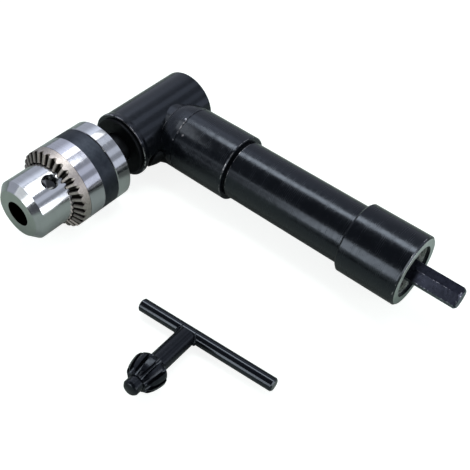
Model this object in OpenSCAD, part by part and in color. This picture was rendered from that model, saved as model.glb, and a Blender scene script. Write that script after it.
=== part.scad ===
// Right angle drill attachment: a keyed chuck and its spindle at a right angle to a hex drive shaft.
// Millimetres. The chuck's axis lies along Y with its mouth at the origin, facing -Y.
// The drive shaft lies along X and points to +X. Both axes are level, and Z is up.

/* [Drill chuck] */
// Diameter of the turning sleeve and of the tail ring behind it
chuck_d = 34; // [33.4:0.1:35]
// Length of the chuck from its mouth to its back face
chuck_len = 44.2; // [44:0.1:46]
// Diameter of the mouth that takes the drill bit
mouth_d = 10.8; // [10.4:0.1:11]
// Depth of the mouth's bore
mouth_depth = 24; // [20:0.5:25]
// Length of the whole wall round the mouth, in front of the jaw holes
mouth_land = 4.2; // [3:0.1:4.2]
// Diameter of the nose in front of the sleeve
nose_d = 25.6; // [25:0.1:26.2]
// Diameter of the flat front face
nose_face_d = 20.1; // [17:0.1:22]
// Length of the bevel round the front face
nose_bevel = 2.9; // [1.5:0.1:3.5]
// Distance from the mouth to the key holes
key_hole_pos = 12.9; // [12:0.1:13.2]
// Distance from the mouth to the teeth's inner tips
ring_front = 16.4; // [16:0.1:17]
// Length of the tail ring
tail_len = 6.8; // [6:0.1:7.2]

/* [Chuck ring teeth] */
// Number of teeth on the sleeve's front
ring_teeth = 30; // [28:1:32]
// How far the tooth tips lean back from the inner to the outer end
ring_lean = 1.5; // [1:0.1:2]
// Depth of the tooth spaces at the outer end
ring_tooth_depth = 1.7; // [1.2:0.1:2]

/* [Chuck jaws] */
// Diameter of each jaw rod
jaw_d = 6; // [5.8:0.1:6.2]
// Distance of a jaw hole's axis from the tail ring's rim at the chuck's back
jaw_rim = 3.3; // [3.2:0.1:3.5]
// Distance of a jaw rod's axis from the chuck's axis at the mouth
jaw_mouth_r = 1; // [0.8:0.1:1.2]
// How far the closed jaws stand out of the mouth
jaw_reach = 2.4; // [1.5:0.1:3]
// Thread pitch of the split nut and of the jaws' backs
jaw_pitch = 1.8; // [1.6:0.1:2]
// Length of the split nut
nut_len = 5; // [4.5:0.1:5.2]
// Distance from the teeth's inner tips to the split nut
nut_set = 5.2; // [5:0.1:5.4]
// Depth of the nut's groove in the body
nut_groove = 3.4; // [3:0.1:3.6]

/* [Chuck key] */
// Diameter of the pilot pin that enters the key hole
pilot_d = 6.2; // [5.6:0.1:6.3]
// Largest diameter of the key's pinion
key_pinion_d = 14; // [13.4:0.1:14.2]
// Number of teeth on the key's pinion
key_teeth = 11; // [10:1:12]
// Diameter of the key's shank
key_shank_d = 7.6; // [7.2:0.1:8]
// Distance from the bar to the pinion
key_shank_len = 19.4; // [18:0.1:21]
// Length of the key's pinion
key_pinion_len = 10.6; // [10:0.1:11.5]
// Length of the pilot pin
pilot_len = 3.9; // [3.6:0.1:4.6]
// Diameter of the key's bar
bar_d = 5.2; // [5:0.1:5.6]
// Length of the bar on its short side
bar_short = 21.9; // [18:0.1:26]
// Length of the bar on its long side
bar_long = 36.7; // [30:0.1:40]
// Place of the bar's crossing along X
key_x = 79.8; // [76:0.1:90]
// Place of the bar's crossing along Y
key_y = 9.2; // [4:0.1:14]
// Turn of the key on the table, in degrees
key_yaw = 4.6; // [0:0.1:8]

/* [Gear head] */
// Outer diameter of the head casting
head_d = 28; // [27.6:0.1:29]
// Length of the casting from the drive axis to its front
head_front = 23.4; // [23.2:0.1:24.5]
// Length of the casting from the drive axis to its back
head_back = 19.4; // [19.2:0.1:21]
// Rounding of the casting's back edge
head_round = 1; // [0.4:0.1:1.6]
// Diameter of the rim round the casting's front
rim_d = 28.6; // [28.4:0.1:29]
// Length of the rim
rim_len = 1.4; // [1:0.1:1.8]
// Depth of the scallop under the casting, behind the rim
scallop_depth = 1.7; // [1:0.1:1.9]
// Wall of the stub that carries the neck sleeve, round its bearing
stub_wall = 2.3; // [2:0.1:2.4]
// Diameter of the gear chamber
chamber_d = 20; // [19:0.1:20.4]
// Diameter of the bearing cap in front of the casting
cap_d = 25.3; // [24.6:0.1:26]
// Length of the bearing cap's flange
cap_len = 1.3; // [1:0.1:1.6]
// Rounding of the cap's front edge
cap_round = 0.4; // [0.2:0.1:0.6]

/* [Drive housing] */
// Distance from the chuck's axis to the tip of the neck sleeve
neck_start = 11.2; // [10.6:0.1:11.6]
// Length of the neck sleeve
neck_len = 35.4; // [34:0.1:37]
// Outer diameter of the neck sleeve
neck_d = 28.8; // [27.6:0.1:29.4]
// Length of the neck sleeve's rounded shoulder, up to the seam
neck_shoulder = 8.8; // [7:0.1:10]
// Outer diameter of the grip tube
grip_d = 25.2; // [24.8:0.1:25.8]
// Length of the grip tube that shows
grip_len = 56; // [50:0.5:70]
// Width of the groove between the neck sleeve and the grip tube
grip_groove = 0.7; // [0.5:0.1:1.2]
// Outer diameter of the end housing
end_d = 29.6; // [29:0.1:31]
// Length of the end housing
end_len = 26.4; // [25:0.1:28]
// Length of the end housing's front bevel
end_bevel = 0.8; // [0.5:0.1:1.6]
// Width of the bevel round the end face
end_edge = 0.7; // [0.4:0.1:1]

/* [Shafts] */
// Width across the flats of the hex drive shank
hex_af = 8; // [7.8:0.1:8.2]
// Length of the hex shank outside the end housing
hex_len = 19.7; // [18:0.1:30]
// Bevel on the shank's end
hex_bevel = 1; // [0.6:0.1:1.4]
// Diameter of the drive shaft inside the grip tube
shaft_d = 12; // [11:0.1:12.4]
// Diameter of the shafts where the gears sit
gear_seat_d = 8; // [7.6:0.1:8]
// Diameter of the spindle's chuck thread
thread_d = 9.52; // [9:0.02:9.6]
// Depth of the thread in the chuck
thread_depth = 14.2; // [12:0.1:15]
// Diameter of the spindle's shoulder behind the chuck
shoulder_d = 12.4; // [12.2:0.1:12.6]
// Length of bare spindle between the chuck and the bearing cap
spindle_gap = 9.8; // [9:0.1:11]

/* [Mitre gears] */
// Number of teeth on each mitre gear
gear_teeth = 16; // [15:1:16]
// Pitch diameter of the mitre gears at their outer ends
gear_d = 16; // [15.6:0.1:16.4]
// Length of the teeth along the cone
gear_face = 4; // [3.6:0.1:4.2]
// Diameter of the gears' hubs
gear_hub_d = 13; // [12.4:0.1:13.4]
// Diameter of the cross pins in the hubs
gear_pin_d = 2; // [1.6:0.1:2.2]

/* [Bearings] */
// Bore of all three ball bearings
bearing_bore = 10; // [9.8:0.1:10]
// Outer diameter of the spindle bearing and of the rear bearing
big_bearing_d = 22; // [21.8:0.1:22.2]
// Width of the spindle bearing and of the rear bearing
big_bearing_w = 6; // [5.6:0.1:6]
// Outer diameter of the front bearing
small_bearing_d = 19; // [18.8:0.1:19.2]
// Width of the front bearing
small_bearing_w = 5; // [4.8:0.1:5]
// Thickness of the circlips
circlip_t = 1; // [0.8:0.1:1.1]
// Turn of the rear circlip's gap from straight up, in degrees
circlip_turn = 140; // [0:5:180]

/* [Fits] */
// Radial clearance of a turning or sliding fit
run_gap = 0.05; // [0.03:0.01:0.08]
// Radial clearance of a fixed seat
seat_gap = 0.02; // [0.01:0.01:0.03]
// Gap between faces that turn past each other
face_gap = 0.2; // [0.15:0.05:0.3]

/* [Hidden] */
$fn = 96;
over = 1;
fine = 0.1;
half = 0.5;
chuck_r = chuck_d / 2;
mouth_r = mouth_d / 2;
mouth_relief = 0.4;
nose_r = nose_d / 2;
nose_face_r = nose_face_d / 2;
edge = 0.25;

// Places along the chuck from its mouth
tail_front = chuck_len - tail_len;
sleeve_back = tail_front - face_gap;
nut_front = ring_front + nut_set;
nut_back = nut_front + nut_len;
land_front = nut_back + 2 * face_gap;
land_wall = 1.8;
land_r = chuck_r - land_wall;
groove_r = nose_r - nut_groove;

// Jaws: open at rest, with their grip faces just clear of the mouth's bore
jaw_r = jaw_d / 2;
jaw_angle = atan((chuck_r - jaw_rim - jaw_mouth_r) / chuck_len);
jaw_clear = 0.15;
grip_closed_r = 0.4;
grip_open_r = mouth_r + jaw_clear;
jaw_lift = (grip_open_r - grip_closed_r) / sin(jaw_angle);
jaw_back_wall = 1.9;
jaw_slope = tan(jaw_angle);
jaw_back = chuck_len - jaw_back_wall;
jaw_hole_wall = 1.3;
wedge_gap = 0.12;
rack_depth_share = 0.4;
rack_width_share = 0.45;
key_hole_d = pilot_d + 4 * run_gap;
key_hole_flare = 0.4;
key_hole_room = 0.7;
key_hole_depth = pilot_len + key_hole_room;
key_hole_point = 28;
jaws = 3;
jaw_turn = 360 / jaws;

// Chuck ring: the tooth spaces run towards one point on the axis
key_hole_turn = -64.7;
ring_inner_r = nose_r + 0.5;
ring_outer_r = chuck_r - edge;
ring_tip_back = ring_front + ring_lean;
ring_apex = ring_front - ring_inner_r * ring_lean / (ring_outer_r - ring_inner_r);
ring_pitch = 2 * PI * ring_outer_r / ring_teeth;
ring_crest_share = 0.26;
ring_root_share = 0.2;
ring_turn = key_hole_turn + 180 / ring_teeth;

// Places along the spindle from the drive axis, which crosses the chuck's axis there
cross_y = chuck_len + spindle_gap + cap_len + head_front;
spindle_bearing_pos = 12;
bush_pos = 9;
bush_len = 7;
bush_wall = 2;
bush_end = bush_pos + bush_len;
spindle_end = bush_end + 2 * face_gap;
bore_end = spindle_end + 2 * face_gap;
cap_bore_r = shoulder_d / 2 + 2 * face_gap;
scallop_r = 3.8;
scallop_turn = 29;

// Mitre gears: pitch cones of 45 degrees that share their tips
gear_r = gear_d / 2;
gear_module = gear_d / gear_teeth;
gear_cone = gear_r * sqrt(2);
gear_shrink = (gear_cone - gear_face) / gear_cone;
gear_tip = 0.9 * gear_module;
gear_root = 1.2 * gear_module;
gear_backlash = 0.12;
gear_pressure = 20;
gear_hub_end = spindle_bearing_pos;
gear_hub_start = 2 * gear_r - gear_hub_d / 2;

// Places along the drive shaft from the chuck's axis
front_bearing_pos = gear_hub_end + 1.5;
front_bearing_end = front_bearing_pos + small_bearing_w;
pinion_hub_end = front_bearing_pos;
stub_len = 38.9;
stub_r = small_bearing_d / 2 + stub_wall;
neck_tip_wall = 0.4;
neck_tip_r = stub_r + neck_tip_wall;
neck_seam = 0.35;
neck_end = neck_start + neck_len;
grip_start = neck_end + grip_groove;
grip_end = grip_start + grip_len;
grip_spigot = 7.6;
grip_wall = 4.4;
grip_bore_r = grip_d / 2 - grip_wall;
grip_bevel = 0.6;
end_face = grip_end + end_len;
grip_tail = 9.5;
tube_tail = grip_end + grip_tail;
rear_bearing_end = end_face - circlip_t - 1.5;
rear_bearing_pos = rear_bearing_end - big_bearing_w;
hex_start = rear_bearing_end + face_gap;
hex_end = end_face + hex_len;
circlip_depth = 0.5;
circlip_width = 1.4;
lug_r = 1.7;
lug_hole_r = 0.8;
lug_spread = 36;
circlip_gap = 52;

// Ball bearings
big_balls = 9;
small_balls = 11;
race_share = 0.38;
ball_share = 0.529;
big_ball_d = (big_bearing_d - bearing_bore) / 2 * ball_share;
small_ball_d = (small_bearing_d - bearing_bore) / 2 * ball_share;
shield_t = 0.3;
cage_wall_share = 0.36;
cage_width_share = 1.3;

// Chuck key, tipped so that its pinion and its shank's end both touch the table
bar_r = bar_d / 2;
bar_edge = 0.5;
key_shank_r = key_shank_d / 2;
key_pinion_r = key_pinion_d / 2;
key_belly_share = 0.32;
key_barrel_shares = [
    [0.54, 0], [0.7, 0.06], [0.87, 0.15], [0.97, 0.24], [1, key_belly_share],
    [0.975, 0.47], [0.92, 0.65], [0.8, 0.84], [0.54, 1]
];
key_belly = key_shank_len + key_belly_share * key_pinion_len;
key_tilt = atan((key_pinion_r - key_shank_r) / (key_belly - bar_edge));
key_height = key_shank_r * cos(key_tilt) - bar_edge * sin(key_tilt);
key_end = key_shank_len + key_pinion_len + pilot_len;
key_slot_share = 0.55;
key_root_share = 0.75;
key_tip_share = 0.5;

steel = [0.72, 0.72, 0.75];
tooth_grey = [0.5, 0.47, 0.44];
black = [0.1, 0.11, 0.13];
dark_steel = [0.3, 0.31, 0.34];
bronze = [0.72, 0.52, 0.28];

// Stands a shape that is built along +Z on the chuck's axis, at a distance from the mouth
module on_chuck(pos = 0) {
    translate([0, pos, 0]) rotate([-90, 0, 0]) children();
}

// The same for a shape whose distance is counted from the drive axis towards the back
module on_head(pos = 0) {
    translate([0, cross_y + pos, 0]) rotate([-90, 0, 0]) children();
}

// Stands a shape that is built along +Z on the drive axis, at a distance from the chuck's axis
module on_drive(pos = 0) {
    translate([pos, cross_y, 0]) rotate([0, 90, 0]) children();
}

// Stands the chuck key's own frame on the table: its shank along +Z and its bar along X
module on_table() {
    translate([key_x, key_y, key_height - chuck_r]) rotate([90 - key_tilt, 0, key_yaw]) children();
}

// A turned piece from the [radius, height] points of its half section
module turned(points) {
    rotate_extrude() polygon(points);
}

// A quarter round from the end of one line to the start of the next, in a half section
function rounding(centre, r, from, to, steps = 6) = [
    for (i = [0 : steps]) let (a = from + (to - from) * i / steps) centre + r * [cos(a), sin(a)]
];

// A tooth space that narrows to nothing at the origin; its base stands at height "reach"
module tapered_space(points, reach) {
    rotate([180, 0, 0]) translate([0, 0, -reach]) linear_extrude(reach, scale = 0) polygon(points);
}

// A mitre gear with its pitch cone's tip at the origin, opening towards +Z
module mitre_gear(hub_end, turn) {
    d = 1 / sqrt(2);
    k = gear_shrink;
    reach = gear_cone + 2 * gear_module;
    grow = reach / gear_cone;
    space_r = PI * gear_module / 4 + gear_backlash;
    top = 2 * gear_tip;
    difference() {
        turned([
            [gear_seat_d / 2 + seat_gap, k * (gear_r - gear_tip * d)],
            [k * (gear_r + gear_tip * d), k * (gear_r - gear_tip * d)],
            [gear_r + gear_tip * d, gear_r - gear_tip * d],
            [gear_r - gear_root * d, gear_r + gear_root * d],
            [gear_hub_d / 2, gear_hub_start],
            [gear_hub_d / 2, hub_end],
            [gear_seat_d / 2 + seat_gap, hub_end]
        ]);
        for (i = [0 : gear_teeth - 1])
            rotate([0, 0, turn + (i + half) * 360 / gear_teeth])
                rotate([0, 45, 0])
                    tapered_space([
                        [-gear_root * grow, space_half(-gear_root, space_r) * grow],
                        [top * grow, space_half(top, space_r) * grow],
                        [top * grow, -space_half(top, space_r) * grow],
                        [-gear_root * grow, -space_half(-gear_root, space_r) * grow]
                    ], reach);
        translate([0, 0, gear_pin_height(hub_end)]) cross_pin_hole();
    }
}

// Half the width of a mitre gear's tooth space at a height above the pitch cone
function space_half(height, at_pitch) = at_pitch + height * tan(gear_pressure);

// The cross pin sits in the middle of the hub
function gear_pin_height(hub_end) = (gear_hub_start + hub_end) / 2;

module cross_pin_hole() {
    rotate([90, 0, 0]) cylinder(h = gear_hub_d + 2 * over, d = gear_pin_d + 2 * seat_gap, center = true);
}

module cross_pin() {
    rotate([90, 0, 0]) cylinder(h = gear_hub_d - edge, d = gear_pin_d, center = true);
}

// Parts of a ball bearing, standing on Z = 0 with its axis along Z
function pitch_r(bore, d) = (bore + d) / 4;

function race_wall(bore, d) = (d - bore) / 2 * race_share;

module bearing_ring(r_in, r_out, w, bore, d, ball_d) {
    difference() {
        translate([0, 0, w / 2])
            difference() {
                cylinder(h = w, r = r_out, center = true);
                cylinder(h = w + over, r = r_in, center = true);
            }
        translate([0, 0, w / 2])
            rotate_extrude() translate([pitch_r(bore, d), 0]) circle(r = ball_d / 2 + run_gap);
    }
}

module bearing_outer(bore, d, w, ball_d) {
    wall = race_wall(bore, d);
    bearing_ring(d / 2 - wall, d / 2 - seat_gap, w, bore, d, ball_d);
}

module bearing_inner(bore, d, w, ball_d) {
    wall = race_wall(bore, d);
    bearing_ring(bore / 2 + seat_gap, bore / 2 + wall, w, bore, d, ball_d);
}

module bearing_balls(bore, d, w, ball_d, count) {
    for (i = [0 : count - 1])
        rotate([0, 0, i * 360 / count]) translate([pitch_r(bore, d), 0, w / 2]) sphere(d = ball_d);
}

module bearing_cage(bore, d, w, ball_d, count) {
    wall = ball_d * cage_wall_share;
    width = ball_d * cage_width_share;
    difference() {
        translate([0, 0, w / 2])
            difference() {
                cylinder(h = width, r = pitch_r(bore, d) + wall / 2, center = true);
                cylinder(h = width + over, r = pitch_r(bore, d) - wall / 2, center = true);
            }
        for (i = [0 : count - 1])
            rotate([0, 0, i * 360 / count])
                translate([pitch_r(bore, d), 0, w / 2])
                    rotate([0, 90, 0])
                        cylinder(h = 2 * wall, r = ball_d / 2 + run_gap, center = true);
    }
}

module bearing_shield(bore, d, z) {
    wall = race_wall(bore, d);
    translate([0, 0, z])
        difference() {
            cylinder(h = shield_t, r = d / 2 - wall - seat_gap);
            translate([0, 0, -over])
                cylinder(h = shield_t + 2 * over, r = bore / 2 + wall + face_gap);
        }
}

// An internal circlip in a bore: a split ring with two lugs, standing on Z = 0
module circlip(bore_r, turn) {
    ring_r = bore_r + circlip_depth - run_gap;
    rotate([0, 0, turn])
        difference() {
            union() {
                difference() {
                    cylinder(h = circlip_t, r = ring_r);
                    translate([0, 0, -over])
                        cylinder(h = circlip_t + 2 * over, r = ring_r - circlip_width);
                }
                for (side = [-1, 1])
                    rotate([0, 0, side * lug_spread])
                        translate([bore_r - lug_r - fine, 0, 0]) cylinder(h = circlip_t, r = lug_r);
            }
            translate([0, 0, -over])
                linear_extrude(circlip_t + 2 * over)
                    polygon([
                        [0, 0],
                        2 * bore_r * [cos(circlip_gap / 2), sin(circlip_gap / 2)],
                        2 * bore_r * [cos(circlip_gap / 2), -sin(circlip_gap / 2)]
                    ]);
            for (side = [-1, 1])
                rotate([0, 0, side * lug_spread])
                    translate([bore_r - lug_r - fine, 0, -over])
                        cylinder(h = circlip_t + 2 * over, r = lug_hole_r);
        }
}

// Head casting with its stub, gear chamber and bearing seats
module head_casting() {
    r = head_d / 2;
    rim_r = rim_d / 2;
    color(black)
        difference() {
            union() {
                on_head() turned(concat(
                    [
                        [0, -head_front],
                        [rim_r - edge, -head_front],
                        [rim_r, -head_front + edge],
                        [rim_r, -head_front + rim_len],
                        [r, -head_front + 2 * rim_len]
                    ],
                    rounding([r - head_round, head_back - head_round], head_round, 0, 90),
                    [[0, head_back]]
                ));
                on_drive() cylinder(h = stub_len, r = stub_r);
            }
            on_head(-head_front + rim_len + scallop_r)
                rotate([0, 0, scallop_turn])
                    translate([r - scallop_depth + scallop_r, 0, 0])
                        rotate([90, 0, 0]) cylinder(h = head_d, r = scallop_r, center = true);
            on_head(-head_front - over)
                cylinder(h = head_front + over - spindle_bearing_pos, r = big_bearing_d / 2);
            on_head(-spindle_bearing_pos - fine)
                cylinder(h = spindle_bearing_pos + bush_pos + fine, r = chamber_d / 2);
            on_head() cylinder(h = bore_end, r = gear_seat_d / 2 + bush_wall + seat_gap);
            on_drive() cylinder(h = front_bearing_pos + over, r = small_bearing_d / 2 - 2 * face_gap);
            on_drive(front_bearing_pos) cylinder(h = stub_len, r = small_bearing_d / 2);
            on_drive(front_bearing_end)
                cylinder(h = circlip_t + seat_gap, r = small_bearing_d / 2 + circlip_depth);
        }
}

// Screwed cap that holds the spindle bearing in the casting
module bearing_cap() {
    r = cap_d / 2;
    spigot = head_front - spindle_bearing_pos - big_bearing_w - seat_gap;
    color(black)
        on_head(-head_front)
            turned(concat(
                [[cap_bore_r, -cap_len]],
                rounding([r - cap_round, cap_round - cap_len], cap_round, -90, 0),
                [
                    [r, 0],
                    [big_bearing_d / 2 - seat_gap, 0],
                    [big_bearing_d / 2 - seat_gap, spigot],
                    [cap_bore_r + bush_wall, spigot],
                    [cap_bore_r, spigot - bush_wall]
                ]
            ));
}

// Output spindle: chuck thread, shoulder, bearing seat, gear seat and rear journal
module spindle() {
    bearing_front = -spindle_bearing_pos - big_bearing_w;
    chuck_back = chuck_len - cross_y;
    thread_end = chuck_back - thread_depth + 2 * face_gap;
    r = thread_d / 2 - seat_gap;
    color(dark_steel)
        difference() {
            on_head() turned([
                [0, thread_end],
                [r - edge, thread_end],
                [r, thread_end + edge],
                [r, chuck_back],
                [shoulder_d / 2, chuck_back],
                [shoulder_d / 2, bearing_front],
                [bearing_bore / 2, bearing_front],
                [bearing_bore / 2, -gear_hub_end],
                [gear_seat_d / 2, -gear_hub_end],
                [gear_seat_d / 2, spindle_end - edge],
                [gear_seat_d / 2 - edge, spindle_end],
                [0, spindle_end]
            ]);
            on_head(-gear_pin_height(gear_hub_end)) cross_pin_hole();
        }
}

// Mitre gear on the spindle, with a tooth space towards the drive pinion
module spindle_gear() {
    color(dark_steel) on_head() rotate([180, 0, 0]) mitre_gear(gear_hub_end, half * 360 / gear_teeth);
}

module spindle_gear_pin() {
    color(steel) on_head(-gear_pin_height(gear_hub_end)) cross_pin();
}

module at_spindle_bearing() {
    on_head(-spindle_bearing_pos - big_bearing_w) children();
}

module spindle_bearing_outer() {
    color(steel) at_spindle_bearing()
        bearing_outer(bearing_bore, big_bearing_d, big_bearing_w, big_ball_d);
}

module spindle_bearing_inner() {
    color(steel) at_spindle_bearing()
        bearing_inner(bearing_bore, big_bearing_d, big_bearing_w, big_ball_d);
}

module spindle_bearing_balls() {
    color(steel) at_spindle_bearing()
        bearing_balls(bearing_bore, big_bearing_d, big_bearing_w, big_ball_d, big_balls);
}

module spindle_bearing_cage() {
    color(bronze) at_spindle_bearing()
        bearing_cage(bearing_bore, big_bearing_d, big_bearing_w, big_ball_d, big_balls);
}

// Plain bush for the spindle's rear journal
module spindle_bush() {
    color(bronze)
        on_head(bush_pos)
            difference() {
                cylinder(h = bush_len, r = gear_seat_d / 2 + bush_wall);
                translate([0, 0, -over]) cylinder(h = bush_len + 2 * over, r = gear_seat_d / 2 + run_gap);
            }
}

// Sleeve that joins the stub to the grip tube, with its tip cut to fit round the head
module neck_sleeve() {
    bore_r = stub_r + seat_gap;
    r = neck_d / 2;
    seam = neck_start + neck_shoulder;
    rise = r - neck_tip_r;
    color(black)
        difference() {
            on_drive() turned(concat(
                [[bore_r, neck_start]],
                [for (a = [0 : 15 : 90]) [neck_tip_r + rise * sin(a), seam - neck_shoulder * cos(a)]],
                [
                    [r - neck_seam, seam],
                    [r - neck_seam, seam + neck_seam],
                    [r, seam + neck_seam],
                    [r, neck_end - 2 * edge],
                    [r - 2 * edge, neck_end],
                    [bore_r, neck_end]
                ]
            ));
            on_head(-head_d) cylinder(h = 2 * head_d, r = head_d / 2 + seat_gap);
        }
}

// Grip tube, with a spigot for the neck sleeve and a tail for the end housing
module grip_tube() {
    r = grip_d / 2;
    spigot_front = grip_start - grip_spigot;
    color(black)
        on_drive()
            turned([
                [grip_bore_r, spigot_front],
                [stub_r, spigot_front],
                [stub_r, grip_start],
                [r - grip_bevel, grip_start],
                [r, grip_start + grip_bevel],
                [r, tube_tail],
                [grip_bore_r, tube_tail]
            ]);
}

// End housing with the rear bearing's seat and the circlip's groove
module end_housing() {
    r = end_d / 2;
    front_r = grip_d / 2 + seat_gap;
    seat_r = big_bearing_d / 2;
    color(black)
        on_drive()
            turned([
                [front_r, grip_end],
                [r - end_bevel, grip_end],
                [r, grip_end + end_bevel],
                [r, end_face - end_edge],
                [r - end_edge, end_face],
                [seat_r, end_face],
                [seat_r, rear_bearing_end + circlip_t + seat_gap],
                [seat_r + circlip_depth, rear_bearing_end + circlip_t + seat_gap],
                [seat_r + circlip_depth, rear_bearing_end],
                [seat_r, rear_bearing_end],
                [seat_r, rear_bearing_pos],
                [seat_r - race_wall(bearing_bore, big_bearing_d), rear_bearing_pos],
                [seat_r - race_wall(bearing_bore, big_bearing_d), tube_tail + seat_gap],
                [front_r, tube_tail + seat_gap]
            ]);
}

// Drive shaft: gear seat, bearing journals and the hex shank with a bevelled end
module drive_shaft() {
    front = gear_seat_d / 2 + 6 * face_gap;
    journal_r = bearing_bore / 2;
    hex_r = hex_af / sqrt(3);
    color(dark_steel)
        difference() {
            union() {
                on_drive() turned([
                    [0, front],
                    [gear_seat_d / 2 - edge, front],
                    [gear_seat_d / 2, front + edge],
                    [gear_seat_d / 2, pinion_hub_end],
                    [journal_r, pinion_hub_end],
                    [journal_r, front_bearing_end],
                    [shaft_d / 2, front_bearing_end],
                    [shaft_d / 2, rear_bearing_pos],
                    [journal_r, rear_bearing_pos],
                    [journal_r, hex_start],
                    [0, hex_start]
                ]);
                intersection() {
                    on_drive(hex_start) rotate([0, 0, 30]) cylinder(h = hex_end - hex_start, r = hex_r, $fn = 6);
                    on_drive() turned([
                        [0, hex_start - over],
                        [hex_af, hex_start - over],
                        [hex_af, hex_end - hex_bevel - (hex_af - hex_r)],
                        [hex_r - hex_bevel, hex_end],
                        [0, hex_end]
                    ]);
                }
            }
            on_drive(gear_pin_height(pinion_hub_end)) cross_pin_hole();
        }
}

// Mitre pinion on the drive shaft, with a tooth towards the spindle gear
module drive_pinion() {
    color(dark_steel) on_drive() mitre_gear(pinion_hub_end, 90);
}

module drive_pinion_pin() {
    color(steel) on_drive(gear_pin_height(pinion_hub_end)) cross_pin();
}

module front_bearing_outer() {
    color(steel) on_drive(front_bearing_pos)
        bearing_outer(bearing_bore, small_bearing_d, small_bearing_w, small_ball_d);
}

module front_bearing_inner() {
    color(steel) on_drive(front_bearing_pos)
        bearing_inner(bearing_bore, small_bearing_d, small_bearing_w, small_ball_d);
}

module front_bearing_balls() {
    color(steel) on_drive(front_bearing_pos)
        bearing_balls(bearing_bore, small_bearing_d, small_bearing_w, small_ball_d, small_balls);
}

module front_bearing_cage() {
    color(bronze) on_drive(front_bearing_pos)
        bearing_cage(bearing_bore, small_bearing_d, small_bearing_w, small_ball_d, small_balls);
}

module front_circlip() {
    color(dark_steel) on_drive(front_bearing_end + seat_gap / 2) circlip(small_bearing_d / 2, 180);
}

module rear_bearing_outer() {
    color(steel) on_drive(rear_bearing_pos)
        bearing_outer(bearing_bore, big_bearing_d, big_bearing_w, big_ball_d);
}

module rear_bearing_inner() {
    color(steel) on_drive(rear_bearing_pos)
        bearing_inner(bearing_bore, big_bearing_d, big_bearing_w, big_ball_d);
}

module rear_bearing_balls() {
    color(steel) on_drive(rear_bearing_pos)
        bearing_balls(bearing_bore, big_bearing_d, big_bearing_w, big_ball_d, big_balls);
}

module rear_bearing_cage() {
    color(bronze) on_drive(rear_bearing_pos)
        bearing_cage(bearing_bore, big_bearing_d, big_bearing_w, big_ball_d, big_balls);
}

module rear_bearing_shields() {
    color(dark_steel) on_drive(rear_bearing_pos) {
        bearing_shield(bearing_bore, big_bearing_d, shield_t);
        bearing_shield(bearing_bore, big_bearing_d, big_bearing_w - 2 * shield_t);
    }
}

module rear_circlip() {
    color(steel) on_drive(rear_bearing_end + seat_gap / 2) circlip(big_bearing_d / 2, 180 - circlip_turn);
}

// A rod along one jaw's axis, from before the mouth to a distance behind it
module jaw_rod(r, back) {
    front = 2 * jaw_reach + jaw_d;
    translate([jaw_mouth_r, 0, 0])
        rotate([0, jaw_angle, 0])
            translate([0, 0, -front]) cylinder(h = front + back / cos(jaw_angle), r = r);
}

// Chuck body: nose, nut groove, land under the sleeve and the tail ring in one turned piece
module chuck_body() {
    thread_r = thread_d / 2;
    color(steel)
        on_chuck()
            difference() {
                turned([
                    [0, mouth_depth],
                    [mouth_r + mouth_relief, mouth_depth],
                    [mouth_r + mouth_relief, mouth_land],
                    [mouth_r, mouth_land],
                    [mouth_r, 0],
                    [nose_face_r, 0],
                    [nose_r, nose_bevel],
                    [nose_r, nut_front - face_gap],
                    [groove_r, nut_front - face_gap],
                    [groove_r, land_front],
                    [land_r, land_front],
                    [land_r, tail_front],
                    [chuck_r - edge, tail_front],
                    [chuck_r, tail_front + edge],
                    [chuck_r, chuck_len - 2 * edge],
                    [chuck_r - 2 * edge, chuck_len],
                    [thread_r + edge, chuck_len],
                    [thread_r, chuck_len - edge],
                    [thread_r, chuck_len - thread_depth],
                    [0, chuck_len - thread_depth]
                ]);
                for (i = [0 : jaws - 1])
                    rotate([0, 0, key_hole_turn + (i + half) * jaw_turn])
                        jaw_rod(jaw_r + run_gap, chuck_len - jaw_hole_wall);
                for (i = [0 : jaws - 1])
                    rotate([0, 0, key_hole_turn + i * jaw_turn]) key_hole();
            }
}

// Radial hole for the key's pilot pin, with a drilled point and a small flare at the nose's surface
module key_hole() {
    r = key_hole_d / 2;
    point = r * tan(key_hole_point);
    translate([nose_r - key_hole_depth, 0, key_hole_pos])
        rotate([0, 90, 0]) {
            cylinder(h = key_hole_depth + over, r = r);
            translate([0, 0, -point]) cylinder(h = point, r1 = 0, r2 = r);
            translate([0, 0, key_hole_depth - key_hole_flare]) cylinder(h = over, r1 = r, r2 = r + over);
        }
}

// Turning sleeve with the bevel ring of key teeth on its front
module chuck_sleeve() {
    nose_bore = nose_r + run_gap;
    land_bore = land_r + run_gap;
    color(tooth_grey)
        on_chuck()
            difference() {
                turned([
                    [nose_bore, ring_front + ring_lean / 2],
                    [ring_inner_r, ring_front],
                    [ring_outer_r, ring_tip_back],
                    [chuck_r, ring_tip_back + edge],
                    [chuck_r, sleeve_back - edge],
                    [chuck_r - edge, sleeve_back],
                    [land_bore, sleeve_back],
                    [land_bore, nut_front],
                    [nose_bore, nut_front]
                ]);
                for (i = [0 : ring_teeth - 1])
                    rotate([0, 0, ring_turn + i * 360 / ring_teeth]) ring_space();
            }
}

// One tooth space of the chuck ring, between its root and well clear of the tips
module ring_space() {
    reach = chuck_r + over;
    grow = reach / ring_outer_r;
    tip = ring_tip_back - ring_apex;
    root = tip + ring_tooth_depth;
    top = tip - ring_tooth_depth;
    root_half = ring_pitch * ring_root_share / 2;
    tip_half = ring_pitch * (1 - ring_crest_share) / 2;
    top_half = 2 * tip_half - root_half;
    translate([0, 0, ring_apex])
        rotate([0, 90, 0])
            tapered_space([
                [-root * grow, root_half * grow],
                [-top * grow, top_half * grow],
                [-top * grow, -top_half * grow],
                [-root * grow, -root_half * grow]
            ], reach);
}

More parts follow.
